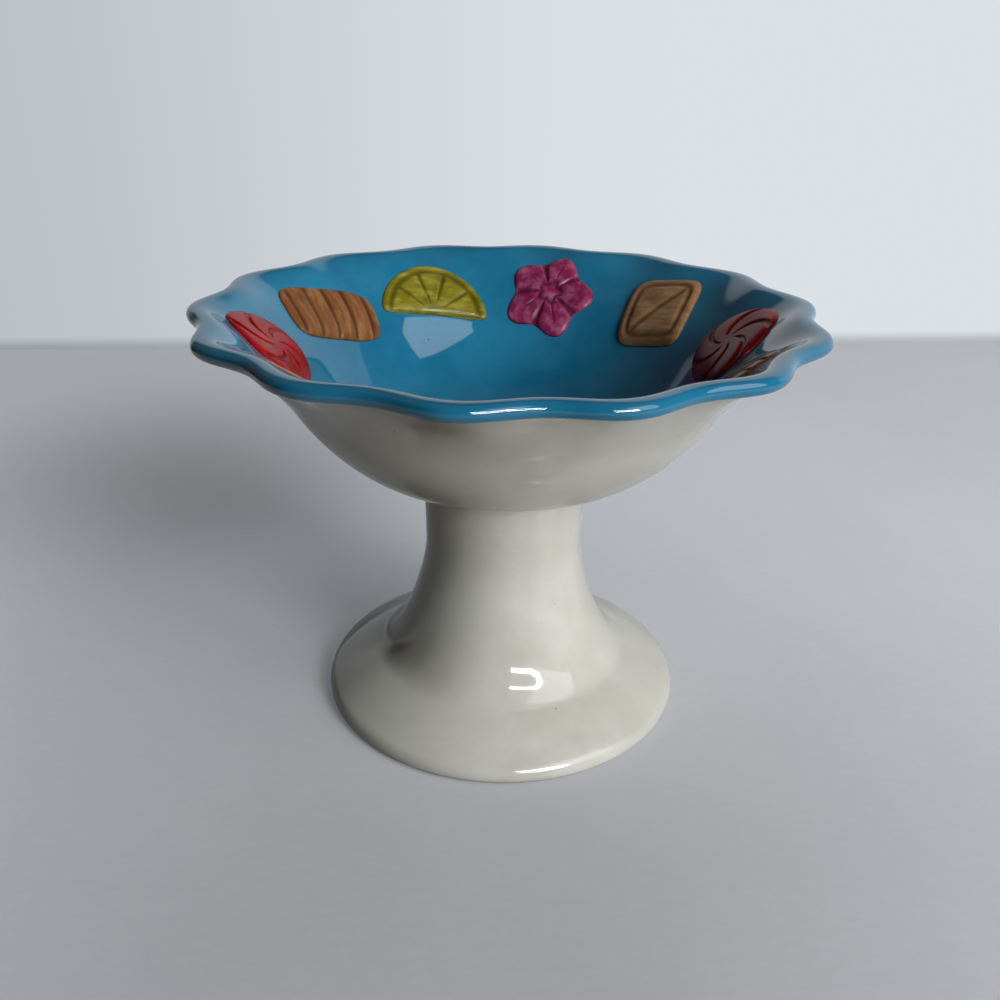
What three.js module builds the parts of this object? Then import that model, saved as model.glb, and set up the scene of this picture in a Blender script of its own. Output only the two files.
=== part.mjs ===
// Footed candy dish: a scalloped bowl luted to a hollow pedestal, lined with coloured glaze
// and dressed with a ring of low-relief sprigs. Millimetres, +Z up.
// The origin is on the table, under the axis. A lobe tip of the rim lies on +X.
import * as THREE from "three";

const { degToRad, lerp, smoothstep } = THREE.MathUtils;

// Pedestal: table to the face under the bowl
const PEDESTAL_HEIGHT = 59.2;
const PEDESTAL_WALL = 4.5;
const STEM_RADIUS = 19.3;
const NECK_HEIGHT = 18.2;
const STEM_TOP_FLARE = 0.5;

// Pedestal foot: a domed flange, a rolled edge that tucks under and the dry ring on the table
const FOOT_RADIUS = 45;
const FOOT_TUCK = 2;
const FOOT_RING_WIDTH = 4.6;
const EDGE_ROLL = 4.5;
const FLANGE_WIDTH = 12;
const FLANGE_INNER_SLOPE = degToRad(14);
const FLANGE_OUTER_SLOPE = degToRad(30);

// How far the flare's handles reach, as shares of its chord
const FLARE_FOOT_REACH = 0.26;
const FLARE_WAIST_REACH = 0.2;

// Slip joint between the pedestal and the bowl
const SLIP_THICKNESS = 0.8;
const SLIP_BEAD = 0.4;

// Bowl: seat to the top of the lip, with its glaze
const BOWL_HEIGHT = 40;
const BOWL_WALL = 3.4;
const LIP_WALL = 2;
const RIM_RADIUS = 71;
const RIM_FLARE_WIDTH = 21;
const BELLY_HEIGHT = 20.2;
const BELLY_SLOPE = degToRad(58);
const LIP_SLOPE = degToRad(25);
const SEAT_MARGIN = 0.3;

// How far the wall curve's handles reach, as shares of each chord
const SEAT_REACH = 0.33;
const BELLY_REACH = 0.38;
const FLARE_REACH = 0.32;
const LIP_REACH = 0.36;

// Locating ring under the bowl, which drops into the pedestal's bore
const LOCATING_DEPTH = 3;
const LOCATING_WIDTH = 3.5;
const LOCATING_CLEARANCE = 0.3;

// Scalloped rim
const LOBE_COUNT = 14;
const SCALLOP_DEPTH = 3.2;
const FLUTE_WIDTH = 18;

// Coloured lining, over the inside and round the lip
const GLAZE_THICKNESS = 0.5;
const GLAZE_CLEARANCE = 0.1;
const LIP_WRAP = 0.8;

// Sprigs: thin moulded pads laid on the lining
const SPRIG_LIP_DISTANCE = 17.5;
const SPRIG_EDGE = 0.5;
const SPRIG_CROWN = 1.3;
const SPRIG_SHOULDER = 0.8;
const SPRIG_CLEARANCE = 0.3;
const SPRIG_ROUNDS = 2;
const SWEET_RADIUS = 11.5;
const CARAMEL_SIDE = 20;
const CARAMEL_SQUARENESS = 5;
const CARAMEL_TILT = degToRad(14);
const BLOSSOM_RADIUS = 12.5;
const BLOSSOM_PETALS = 5;
const BLOSSOM_NOTCH = 3;
const MOON_RADIUS = 15;
const MOON_CHORD_DROP = 6;
const MOON_SHARPNESS = 9;
const MOON_TILT = degToRad(-10);
const TOFFEE_LENGTH = 28;
const TOFFEE_WIDTH = 15;
const TOFFEE_SQUARENESS = 4;
const TOFFEE_TILT = degToRad(-18);

// Facets
const LOBE_FACETS = 6;
const PEDESTAL_FACETS = 48;
const SPRIG_FACETS = 20;
const EDGE_FACETS = 3;
const STEM_FACETS = 10;
const WALL_FACETS = 8;
const LIP_FACETS = 4;

// Finishes
const CREAM = { color: 0xd8d5ca, roughness: 0.2 };
const FIRED_SLIP = { color: 0xcfc9ba, roughness: 0.6 };
const TEAL = { color: 0x2b7799, roughness: 0.12 };
const CRIMSON = { color: 0xa30d14, roughness: 0.15 };
const CARAMEL = { color: 0xa6764f, roughness: 0.15 };
const MAGENTA = { color: 0x93305a, roughness: 0.15 };
const OLIVE = { color: 0x84801f, roughness: 0.15 };
const TOFFEE = { color: 0x7c4d30, roughness: 0.15 };

const stemTopRadius = STEM_RADIUS + STEM_TOP_FLARE;
const boreRadius = stemTopRadius - PEDESTAL_WALL;
const seatHeight = PEDESTAL_HEIGHT + SLIP_THICKNESS;
const glazeDepth = GLAZE_CLEARANCE + GLAZE_THICKNESS;

const radial = (angle, length) => new THREE.Vector2(Math.cos(angle), Math.sin(angle)).multiplyScalar(length);
const steps = (count) => Array.from({ length: count + 1 }, (unused, i) => i / count);

// A cubic curve that leaves one end and reaches the other at the given slopes.
function easeCurve(start, startSlope, startReach, end, endSlope, endReach) {
  const chord = start.distanceTo(end);
  const leave = start.clone().add(radial(startSlope, chord * startReach));
  const arrive = end.clone().sub(radial(endSlope, chord * endReach));
  return new THREE.CubicBezierCurve(start, leave, arrive, end);
}

// A point beside a profile curve, to the left of its run.
function besideCurve(curve, station, distance) {
  const run = curve.getTangent(station);
  return curve.getPoint(station).add(new THREE.Vector2(-run.y, run.x).multiplyScalar(distance));
}

// Points of an arc, both ends included.
function arcPoints(centre, radius, startAngle, endAngle, facets) {
  return steps(facets).map((share) =>
    centre.clone().add(radial(lerp(startAngle, endAngle, share), radius)),
  );
}

// Turns a profile of radius and height about the Z axis.
function revolve(profile, facets) {
  return new THREE.LatheGeometry(profile, facets).rotateX(Math.PI / 2);
}

// Splits each four-sided facet of a turned geometry along its shorter diagonal,
// so that two faces which lie against each other are split alike.
function splitFacets(geometry) {
  const place = geometry.getAttribute("position");
  const rows = geometry.parameters.points.length;
  const corner = (i) => new THREE.Vector3().fromBufferAttribute(place, i);
  const faces = [];
  for (let a = 0; a < geometry.parameters.segments * rows; a += 1) {
    if ((a + 1) % rows === 0) continue;
    const [b, c, d] = [a + rows, a + rows + 1, a + 1];
    const short = corner(a).distanceTo(corner(c)) < corner(b).distanceTo(corner(d));
    faces.push(...(short ? [a, b, c, a, c, d] : [a, b, d, b, c, d]));
  }
  return geometry.setIndex(faces);
}

// Moves each vertex of a turned geometry by a function of its place.
function reshape(geometry, move) {
  const place = geometry.getAttribute("position");
  const point = new THREE.Vector3();
  for (let i = 0; i < place.count; i += 1) {
    move(point.fromBufferAttribute(place, i));
    place.setXYZ(i, point.x, point.y, point.z);
  }
  return splitFacets(geometry);
}

// Pedestal, a bell of even wall that is open at both ends.
function pedestalGeometry() {
  const upright = Math.PI / 2;
  const tuckCentre = new THREE.Vector2(FOOT_RADIUS - FOOT_TUCK, FOOT_TUCK);
  const tuck = arcPoints(tuckCentre, FOOT_TUCK, -upright, 0, EDGE_FACETS);
  const rollCentre = new THREE.Vector2(FOOT_RADIUS - EDGE_ROLL, FOOT_TUCK);
  const roll = arcPoints(rollCentre, EDGE_ROLL, 0, upright - FLANGE_OUTER_SLOPE, EDGE_FACETS);

  // The flange's top and underside are arcs about one centre, so its wall is even.
  const flangeSpan = Math.sin(FLANGE_OUTER_SLOPE) - Math.sin(FLANGE_INNER_SLOPE);
  const domeRadius = (roll.at(-1).x - FOOT_RADIUS + FLANGE_WIDTH) / flangeSpan;
  const domeCentre = roll.at(-1).clone().sub(radial(upright - FLANGE_OUTER_SLOPE, domeRadius));
  const flangeArc = (radius, start) =>
    arcPoints(domeCentre, radius, start, upright - FLANGE_INNER_SLOPE, EDGE_FACETS);
  const flange = flangeArc(domeRadius, upright - FLANGE_OUTER_SLOPE);

  const waist = new THREE.Vector2(STEM_RADIUS, PEDESTAL_HEIGHT - NECK_HEIGHT);
  const top = new THREE.Vector2(stemTopRadius, PEDESTAL_HEIGHT);
  const neckHandle = new THREE.Vector2(STEM_RADIUS, PEDESTAL_HEIGHT - NECK_HEIGHT / 2);
  const stem = new THREE.CurvePath();
  stem.add(
    easeCurve(flange.at(-1), Math.PI - FLANGE_INNER_SLOPE, FLARE_FOOT_REACH, waist, upright, FLARE_WAIST_REACH),
  );
  stem.add(new THREE.QuadraticBezierCurve(waist, neckHandle, top));
  const outside = steps(STEM_FACETS).map((share) => stem.getPoint(share));
  const inside = steps(STEM_FACETS).map((share) => besideCurve(stem, share, PEDESTAL_WALL));
  inside.at(-1).set(boreRadius, PEDESTAL_HEIGHT);

  const ringInside = tuckCentre.x - FOOT_RING_WIDTH;
  const undersideRadius = domeRadius - PEDESTAL_WALL;
  const underside = flangeArc(undersideRadius, Math.acos((ringInside - domeCentre.x) / undersideRadius));
  const profile = [
    ...tuck,
    ...roll.slice(1),
    ...flange.slice(1, -1),
    ...outside,
    ...inside.reverse(),
    ...underside.reverse().slice(1),
    new THREE.Vector2(ringInside, 0),
    tuck[0],
  ];
  return revolve(profile, PEDESTAL_FACETS);
}

// Slip ring, squeezed out into a small bead round the joint.
function slipGeometry() {
  const profile = [
    new THREE.Vector2(boreRadius, 0),
    new THREE.Vector2(stemTopRadius, 0),
    new THREE.Vector2(stemTopRadius + SLIP_BEAD, SLIP_THICKNESS / 2),
    new THREE.Vector2(stemTopRadius, SLIP_THICKNESS),
    new THREE.Vector2(boreRadius, SLIP_THICKNESS),
    new THREE.Vector2(boreRadius, 0),
  ];
  return revolve(profile, PEDESTAL_FACETS);
}

// The bowl's outer wall, from the edge of its seat to the end of the lip's underside.
const seatRadius = stemTopRadius + SLIP_BEAD + SEAT_MARGIN;
const lipRadius = LIP_WALL / 2;
const lipCentre = new THREE.Vector2(RIM_RADIUS, BOWL_HEIGHT).subScalar(lipRadius + glazeDepth);
const wallEnd = lipCentre.clone().add(radial(LIP_SLOPE - Math.PI / 2, lipRadius));
const belly = new THREE.Vector2(RIM_RADIUS - RIM_FLARE_WIDTH, BELLY_HEIGHT);
const wall = new THREE.CurvePath();
wall.add(easeCurve(new THREE.Vector2(seatRadius, 0), 0, SEAT_REACH, belly, BELLY_SLOPE, BELLY_REACH));
wall.add(easeCurve(belly, BELLY_SLOPE, FLARE_REACH, wallEnd, LIP_SLOPE, LIP_REACH));

// The wall's thickness at a station: even up to the belly's turn, then thinning to the lip.
const turnStation = wall.curves[0].getLength() / wall.getLength();
const thickness = (station) => lerp(BOWL_WALL, LIP_WALL, smoothstep(station, turnStation, 1));

// A point inside the bowl, at a depth over the body's own inner face.
const insideWall = (station, depth) => besideCurve(wall, station, thickness(station) + depth);

// Stations along the wall, with one where the lining ends under the lip.
const wrapStation = 1 - LIP_WRAP / wall.getLength();
const wallStations = [...steps(WALL_FACETS), wrapStation].sort((a, b) => a - b);

// Points round the lip's nose, from its top side to its underside, ends left out.
function nosePoints(radius) {
  const turn = Math.PI / 2;
  return arcPoints(lipCentre, radius, LIP_SLOPE + turn, LIP_SLOPE - turn, LIP_FACETS).slice(1, -1);
}

// Draws a place in at the notches between the lobes, fading to a plain round down the wall.
function scallop(point) {
  const radius = Math.hypot(point.x, point.y);
  if (radius === 0) return;
  const fade = smoothstep(radius, RIM_RADIUS - FLUTE_WIDTH, RIM_RADIUS);
  const wave = (1 - Math.cos(LOBE_COUNT * Math.atan2(point.y, point.x))) / 2;
  const drawnIn = 1 - (SCALLOP_DEPTH * fade * wave) / radius;
  point.x *= drawnIn;
  point.y *= drawnIn;
}

// Bowl body: a wall that thins to a rounded lip, and a locating ring under its floor.
function bowlGeometry() {
  const ringOutside = STEM_RADIUS - PEDESTAL_WALL - LOCATING_CLEARANCE;
  const ringInside = ringOutside - LOCATING_WIDTH;
  const profile = [
    new THREE.Vector2(0, 0),
    new THREE.Vector2(ringInside, 0),
    new THREE.Vector2(ringInside, -LOCATING_DEPTH),
    new THREE.Vector2(ringOutside, -LOCATING_DEPTH),
    new THREE.Vector2(ringOutside, 0),
    ...wallStations.map((station) => wall.getPoint(station)),
    ...nosePoints(lipRadius).reverse(),
    ...wallStations.map((station) => insideWall(station, 0)).reverse(),
    new THREE.Vector2(0, BOWL_WALL),
  ];
  return reshape(revolve(profile, LOBE_COUNT * LOBE_FACETS), scallop);
}

// One face of the lining, at a distance from the bowl's surface, from the floor to under the lip.
function liningFace(distance) {
  const underLip = wallStations.filter((station) => station >= wrapStation).reverse();
  return [
    new THREE.Vector2(0, BOWL_WALL + distance),
    ...wallStations.map((station) => insideWall(station, distance)),
    ...nosePoints(lipRadius + distance),
    ...underLip.map((station) => besideCurve(wall, station, -distance)),
  ];
}

// Lining: a coat of even thickness over the floor, the inner wall and the lip.
function liningGeometry() {
  const profile = [...liningFace(GLAZE_CLEARANCE), ...liningFace(glazeDepth).reverse()];
  return reshape(revolve(profile, LOBE_COUNT * LOBE_FACETS), scallop);
}

// Sprig outlines: each gives the distance from a pad's middle to its edge at an angle.
const softLeast = (sharpness, ...lengths) =>
  lengths.reduce((sum, length) => sum + length ** -sharpness, 0) ** (-1 / sharpness);
const toSide = (half, share) => half / Math.max(Math.abs(share), Number.EPSILON);

function roundedBar(length, width, squareness) {
  return (angle) =>
    softLeast(squareness, toSide(length / 2, Math.cos(angle)), toSide(width / 2, Math.sin(angle)));
}

function blossom(angle) {
  return BLOSSOM_RADIUS - (BLOSSOM_NOTCH * (1 - Math.cos(BLOSSOM_PETALS * angle))) / 2;
}

// A half disc: the arc's centre is on the chord, which lies below the pad's middle.
function halfMoon(angle) {
  const rise = Math.sin(angle);
  const level = MOON_CHORD_DROP * Math.cos(angle);
  const toArc = Math.sqrt(MOON_RADIUS ** 2 - level ** 2) - MOON_CHORD_DROP * rise;
  const toChord = toSide(MOON_CHORD_DROP, Math.min(rise, 0));
  return softLeast(MOON_SHARPNESS, toArc, toChord);
}

const sprigKinds = [
  { name: "round_sweet", finish: CRIMSON, tilt: 0, outline: () => SWEET_RADIUS },
  {
    name: "caramel",
    finish: CARAMEL,
    tilt: CARAMEL_TILT,
    outline: roundedBar(CARAMEL_SIDE, CARAMEL_SIDE, CARAMEL_SQUARENESS),
  },
  { name: "blossom", finish: MAGENTA, tilt: 0, outline: blossom },
  { name: "half_moon", finish: OLIVE, tilt: MOON_TILT, outline: halfMoon },
  {
    name: "toffee",
    finish: TOFFEE,
    tilt: TOFFEE_TILT,
    outline: roundedBar(TOFFEE_LENGTH, TOFFEE_WIDTH, TOFFEE_SQUARENESS),
  },
];

// A domed pad of unit radius, pulled out to its outline, tilted and laid on the lining.
function sprigGeometry(kind, azimuth) {
  const padProfile = [
    new THREE.Vector2(0, 0),
    new THREE.Vector2(1 / 2, 0),
    new THREE.Vector2(1, 0),
    new THREE.Vector2(1, SPRIG_EDGE),
    new THREE.Vector2(SPRIG_SHOULDER, (SPRIG_EDGE + SPRIG_CROWN) / 2),
    new THREE.Vector2(SPRIG_SHOULDER / 2, SPRIG_CROWN),
    new THREE.Vector2(0, SPRIG_CROWN),
  ];
  const seatDepth = glazeDepth + SPRIG_CLEARANCE;
  const station = 1 - SPRIG_LIP_DISTANCE / wall.getLength();
  const layOnWall = (point) => {
    const angle = Math.atan2(point.y, point.x);
    const flat = radial(angle + kind.tilt, Math.hypot(point.x, point.y) * kind.outline(angle));
    const onWall = insideWall(station + flat.y / wall.getLength(), seatDepth + point.z);
    const turn = azimuth - flat.x / onWall.x;
    point.set(onWall.x * Math.cos(turn), onWall.x * Math.sin(turn), onWall.y);
    scallop(point);
  };
  return reshape(revolve(padProfile, SPRIG_FACETS), layOnWall);
}

function piece(name, geometry, finish) {
  const material = new THREE.MeshStandardMaterial({ ...finish, metalness: 0 });
  const mesh = new THREE.Mesh(geometry, material);
  mesh.name = name;
  return mesh;
}

// Assembly
const candyDish = new THREE.Group();
candyDish.name = "candy_dish";
candyDish.add(piece("pedestal", pedestalGeometry(), CREAM));

const slip = piece("joint_slip", slipGeometry(), FIRED_SLIP);
slip.position.z = PEDESTAL_HEIGHT;
candyDish.add(slip);

const bowlGroup = new THREE.Group();
bowlGroup.position.z = seatHeight;
bowlGroup.add(piece("bowl", bowlGeometry(), CREAM));
bowlGroup.add(piece("glaze_lining", liningGeometry(), TEAL));

const sprigCount = SPRIG_ROUNDS * sprigKinds.length;
for (let i = 0; i < sprigCount; i += 1) {
  const kind = sprigKinds[i % sprigKinds.length];
  const round = Math.floor(i / sprigKinds.length) + 1;
  const azimuth = (2 * Math.PI * i) / sprigCount;
  bowlGroup.add(piece(`${kind.name}_sprig_${round}`, sprigGeometry(kind, azimuth), kind.finish));
}
candyDish.add(bowlGroup);

export default candyDish;
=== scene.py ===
"""Footed candy dish: a scalloped bowl on a hollow pedestal, lined with teal glaze and dressed with sprigs.

Metres, +Z up, in the part's own frame: the origin is on the table, under the axis.
"""

import math
from bisect import bisect_right

import bmesh
import bpy
from mathutils import Matrix, Quaternion, Vector
from mathutils.geometry import interpolate_bezier


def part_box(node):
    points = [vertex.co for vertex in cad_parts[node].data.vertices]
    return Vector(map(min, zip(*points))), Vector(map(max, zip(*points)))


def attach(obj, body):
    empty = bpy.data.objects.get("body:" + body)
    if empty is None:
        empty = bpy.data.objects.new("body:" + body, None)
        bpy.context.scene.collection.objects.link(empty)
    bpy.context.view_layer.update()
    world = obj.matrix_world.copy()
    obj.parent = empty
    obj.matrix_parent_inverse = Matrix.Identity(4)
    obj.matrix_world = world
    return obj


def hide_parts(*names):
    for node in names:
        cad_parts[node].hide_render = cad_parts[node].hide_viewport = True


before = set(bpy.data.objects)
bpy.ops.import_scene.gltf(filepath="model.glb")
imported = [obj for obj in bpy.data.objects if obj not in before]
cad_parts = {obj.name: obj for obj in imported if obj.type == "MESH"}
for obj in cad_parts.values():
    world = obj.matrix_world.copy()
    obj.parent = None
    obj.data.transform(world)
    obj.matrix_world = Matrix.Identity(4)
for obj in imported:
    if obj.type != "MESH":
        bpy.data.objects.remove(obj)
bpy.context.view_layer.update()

MM = 0.001
RIGHT_ANGLE = math.pi / 2

# Sizes read from the solids
FOOT_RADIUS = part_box("pedestal")[1].x
PEDESTAL_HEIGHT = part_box("pedestal")[1].z
SEAT_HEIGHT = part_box("joint_slip")[1].z
SLIP_THICKNESS = SEAT_HEIGHT - PEDESTAL_HEIGHT

# Pedestal
PEDESTAL_WALL = 4.5 * MM
STEM_RADIUS = 19.3 * MM
NECK_HEIGHT = 18.2 * MM
STEM_TOP_FLARE = 0.5 * MM
FOOT_TUCK = 1.5 * MM
FOOT_RING_WIDTH = 4.6 * MM
EDGE_ROLL = 3.3 * MM
FLANGE_WIDTH = 12.8 * MM
FLANGE_INNER_SLOPE = math.radians(22)
FLANGE_OUTER_SLOPE = math.radians(34)
FLARE_FOOT_REACH = 0.21
FLARE_WAIST_REACH = 0.233
STEM_TOP_RADIUS = STEM_RADIUS + STEM_TOP_FLARE
BORE_RADIUS = STEM_TOP_RADIUS - PEDESTAL_WALL

# Slip joint
SLIP_BEAD = 0.4 * MM

# Bowl
BOWL_HEIGHT = 40 * MM
BOWL_WALL = 3.4 * MM
LIP_WALL = 2 * MM
RIM_RADIUS = 71 * MM
RIM_FLARE_WIDTH = 21 * MM
BELLY_HEIGHT = 20.2 * MM
BELLY_SLOPE = math.radians(58)
LIP_SLOPE = math.radians(25)
SEAT_MARGIN = 0.3 * MM
SEAT_REACH = 0.33
BELLY_REACH = 0.38
FLARE_REACH = 0.32
LIP_REACH = 0.36
LOCATING_DEPTH = 3 * MM
LOCATING_WIDTH = 3.5 * MM
LOCATING_CLEARANCE = 0.3 * MM

# Scalloped rim
LOBE_COUNT = 14
SCALLOP_DEPTH = 3.2 * MM
FLUTE_WIDTH = 18 * MM

# Teal lining
GLAZE_CLEARANCE = 0.1 * MM
GLAZE_DEPTH = 0.6 * MM
LIP_WRAP = 0.8 * MM
GLAZE_EDGE_ROUND = 1.2 * MM
CREST_RUN = 2.8 * MM
CREST_FALL = math.radians(10)
CREST_FADE = 12 * MM

# Sprigs
SPRIG_LIP_DISTANCE = 17.5 * MM
SPRIG_HEIGHT = 1.6 * MM
SPRIG_SINK = 0.1 * MM
SPRIG_DOME = 4
SPRIG_ROUNDS = 2
SWEET_RADIUS = 11.5 * MM
CARAMEL_SIDE = 20 * MM
CARAMEL_SQUARENESS = 5
CARAMEL_TILT = math.radians(14)
BLOSSOM_RADIUS = 12.5 * MM
BLOSSOM_PETALS = 5
BLOSSOM_NOTCH = 3 * MM
MOON_RADIUS = 15 * MM
MOON_CHORD_DROP = 6 * MM
MOON_SHARPNESS = 9
MOON_TILT = math.radians(-10)
TOFFEE_LENGTH = 28 * MM
TOFFEE_WIDTH = 15 * MM
TOFFEE_SQUARENESS = 4
TOFFEE_TILT = math.radians(-18)

# Fineness of the meshes
LOBE_STEPS = 24
PEDESTAL_WEDGES = 16
PEDESTAL_STEPS = 15
SPRIG_WEDGES = 14
SPRIG_STEPS = 12
SPRIG_RINGS = 44
CURVE_STEPS = 40
EDGE_STEPS = 20
SHARP_CORNER = math.radians(35)
CORNER_ROUND = 0.35 * MM
CORNER_STEPS = 3
MERGE_DISTANCE = 0.001 * MM


# Profiles
def heading(angle, length):
    """A step in a profile's plane of radius and height."""
    return Vector((math.cos(angle), math.sin(angle))) * length


def smoothstep(value, low, high):
    """0 at low and 1 at high, eased."""
    share = min(max((value - low) / (high - low), 0), 1)
    return share * share * (3 - 2 * share)


def arc(centre, radius, start, end, steps):
    """Points of an arc, both ends included."""
    return [centre + heading(start + (end - start) * i / steps, radius) for i in range(steps + 1)]


def ease_curve(start, start_slope, start_reach, end, end_slope, end_reach):
    """Points of a curve that leaves one end and reaches the other at the given slopes."""
    chord = (end - start).length
    leave = start + heading(start_slope, chord * start_reach)
    arrive = end - heading(end_slope, chord * end_reach)
    return interpolate_bezier(start, leave, arrive, end, CURVE_STEPS + 1)


class Run:
    """A profile curve read by distance along it, with the normals to the left of its run."""

    def __init__(self, points):
        self.points = points
        self.marks = [0.0]
        for here, there in zip(points, points[1:]):
            self.marks.append(self.marks[-1] + (there - here).length)
        self.length = self.marks[-1]
        ends = zip([points[0], *points], [*points[1:], points[-1]])
        self.normals = [(after - before).normalized().orthogonal() for before, after in ends]

    def beside(self, distance, offset):
        """A place at a distance along the run and an offset to its left."""
        i = bisect_right(self.marks, distance, 1, len(self.marks) - 1)
        share = (distance - self.marks[i - 1]) / (self.marks[i] - self.marks[i - 1])
        place = self.points[i - 1].lerp(self.points[i], share)
        return place + self.normals[i - 1].lerp(self.normals[i], share) * offset


# Meshes
def turn(profile, wedges, wedge_steps, lift=0.0, notes=None):
    """A mesh of a profile turned about the Z axis: one wedge is spun, then copied round.

    Notes are a name and a value for each point of the profile, which the mesh carries.
    """
    bm = bmesh.new()
    layer = bm.verts.layers.float.new(notes[0]) if notes else None
    chain = [bm.verts.new((place.x, 0, place.y + lift)) for place in profile]
    if notes:
        for vert, value in zip(chain, notes[1]):
            vert[layer] = value
    edges = [bm.edges.new(pair) for pair in zip(chain, chain[1:])]
    wedge = 2 * math.pi / wedges
    bmesh.ops.spin(bm, geom=chain + edges, axis=(0, 0, 1), angle=wedge, steps=wedge_steps)
    bmesh.ops.spin(
        bm, geom=[*bm.verts, *bm.edges, *bm.faces], axis=(0, 0, 1),
        angle=wedge * (wedges - 1), steps=wedges - 1, use_duplicate=True,
    )
    bmesh.ops.remove_doubles(bm, verts=bm.verts, dist=MERGE_DISTANCE)
    bmesh.ops.recalc_face_normals(bm, faces=bm.faces)
    return bm


def soften_corners(bm):
    """Rounds the corners that a potter's sponge would round."""
    corners = [e for e in bm.edges if e.is_manifold and e.calc_face_angle() > SHARP_CORNER]
    bmesh.ops.bevel(
        bm, geom=corners, offset=CORNER_ROUND, affect="EDGES", segments=CORNER_STEPS,
        profile=0.5, material=-1,
    )


def scallop(place):
    """Draws a place in at the notches between the rim's lobes, fading to a plain round down the wall."""
    radius = math.hypot(place.x, place.y)
    fade = smoothstep(radius, RIM_RADIUS - FLUTE_WIDTH, RIM_RADIUS)
    if fade > 0:
        wave = (1 - math.cos(LOBE_COUNT * math.atan2(place.y, place.x))) / 2
        place.xy *= 1 - SCALLOP_DEPTH * fade * wave / radius


def add_piece(name, bm, material, node):
    """Turns a mesh into a piece of the dish that stands for a node of the frame."""
    mesh = bpy.data.meshes.new(name)
    bm.to_mesh(mesh)
    bm.free()
    mesh.shade_smooth()
    mesh.materials.append(material)
    piece = bpy.data.objects.new(name, mesh)
    bpy.context.scene.collection.objects.link(piece)
    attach(piece, "root")
    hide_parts(node)


# Finishes
def paint(code):
    """A colour from its six-digit code, as linear light."""
    parts = [(code >> shift & 255) / 255 for shift in (16, 8, 0)]
    return (*[c / 12.92 if c <= 0.04045 else ((c + 0.055) / 1.055) ** 2.4 for c in parts], 1.0)


class Wire:
    """A socket of a finish, with operators that add Math nodes."""

    def __init__(self, finish, socket):
        self.finish = finish
        self.socket = socket

    def math(self, operation, first, second=0.0):
        return self.finish.node("ShaderNodeMath", {"operation": operation}, {0: first, 1: second})

    def __add__(self, other):
        return self.math("ADD", self, other)

    def __sub__(self, other):
        return self.math("SUBTRACT", self, other)

    def __rsub__(self, other):
        return self.math("SUBTRACT", other, self)

    def __mul__(self, other):
        return self.math("MULTIPLY", self, other)

    __radd__ = __add__
    __rmul__ = __mul__


class Finish:
    """A material, built from nodes."""

    def __init__(self, name):
        self.material = bpy.data.materials.new(name)
        self.material.use_nodes = True
        self.tree = self.material.node_tree
        self.tree.nodes.clear()

    def node(self, kind, settings=None, inputs=None, output=0):
        """Adds a node, sets it, feeds its sockets and gives one of its outputs."""
        node = self.tree.nodes.new(kind)
        for key, value in (settings or {}).items():
            setattr(node, key, value)
        for key, value in (inputs or {}).items():
            if isinstance(value, Wire):
                self.tree.links.new(value.socket, node.inputs[key])
            else:
                node.inputs[key].default_value = value
        return Wire(self, node.outputs[output]) if node.outputs else node

    def place(self):
        """Where a point lies in the part's frame."""
        return self.node("ShaderNodeTexCoord", output="Object")

    def noted(self, name, output="Fac"):
        """A value that the mesh carries."""
        return self.node("ShaderNodeAttribute", {"attribute_name": name}, output=output)

    def stretched(self, place, scale, turned=0.0):
        """A pattern's coordinates, scaled along each axis and turned about Z."""
        inputs = {"Vector": place, "Scale": scale, "Rotation": (0, 0, turned)}
        return self.node("ShaderNodeMapping", inputs=inputs)

    def noise(self, place, scale, detail=2, roughness=0.5):
        """A cloudy pattern from 0 to 1, at a number of clouds to the metre."""
        inputs = {"Vector": place, "Scale": scale, "Detail": detail, "Roughness": roughness}
        return self.node("ShaderNodeTexNoise", inputs=inputs)

    def between(self, value, low, high):
        """0 at low and 1 at high, eased."""
        inputs = {"Value": value, "From Min": low, "From Max": high}
        return self.node("ShaderNodeMapRange", {"interpolation_type": "SMOOTHSTEP"}, inputs)

    def blend(self, share, first, second):
        """One colour going over to another."""
        inputs = {"Factor": share, 6: first, 7: second}
        return self.node("ShaderNodeMix", {"data_type": "RGBA"}, inputs, 2)

    def distance(self, place, centre):
        """How far a place is from a centre."""
        inputs = {0: place, 1: centre}
        return self.node("ShaderNodeVectorMath", {"operation": "DISTANCE"}, inputs, "Value")

    def specks(self, place, spacing, size, share):
        """Scattered round specks: 1 on a speck and 0 elsewhere."""
        cells = {"Vector": place, "Scale": 1 / spacing}
        distance = self.node("ShaderNodeTexVoronoi", inputs=cells, output="Distance")
        tint = self.node("ShaderNodeTexVoronoi", inputs=cells, output="Color")
        pick = self.node("ShaderNodeSeparateColor", inputs={"Color": tint})
        chosen = self.node("ShaderNodeMath", {"operation": "LESS_THAN"}, {0: pick, 1: share})
        return self.between(distance, size / spacing, 0.5 * size / spacing) * chosen

    def bumped(self, height, strength, depth):
        """The normals of a fine relief."""
        inputs = {"Height": height, "Strength": strength, "Distance": depth}
        return self.node("ShaderNodeBump", inputs=inputs)

    def surface(self, inputs):
        """Ends the material in one shader."""
        shader = self.node("ShaderNodeBsdfPrincipled", inputs=inputs)
        self.node("ShaderNodeOutputMaterial", inputs={"Surface": shader})
        return self.material


class Room(Finish):
    """The room round the stage, built from nodes as a finish is."""

    def __init__(self, name):
        self.world = bpy.data.worlds.new(name)
        self.world.use_nodes = True
        self.tree = self.world.node_tree
        self.tree.nodes.clear()


# What the glazes share
GLAZE_IOR = 1.52
RIPPLE_STRENGTH = 0.12
RIPPLE_DEPTH = 0.4 * MM

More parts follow.
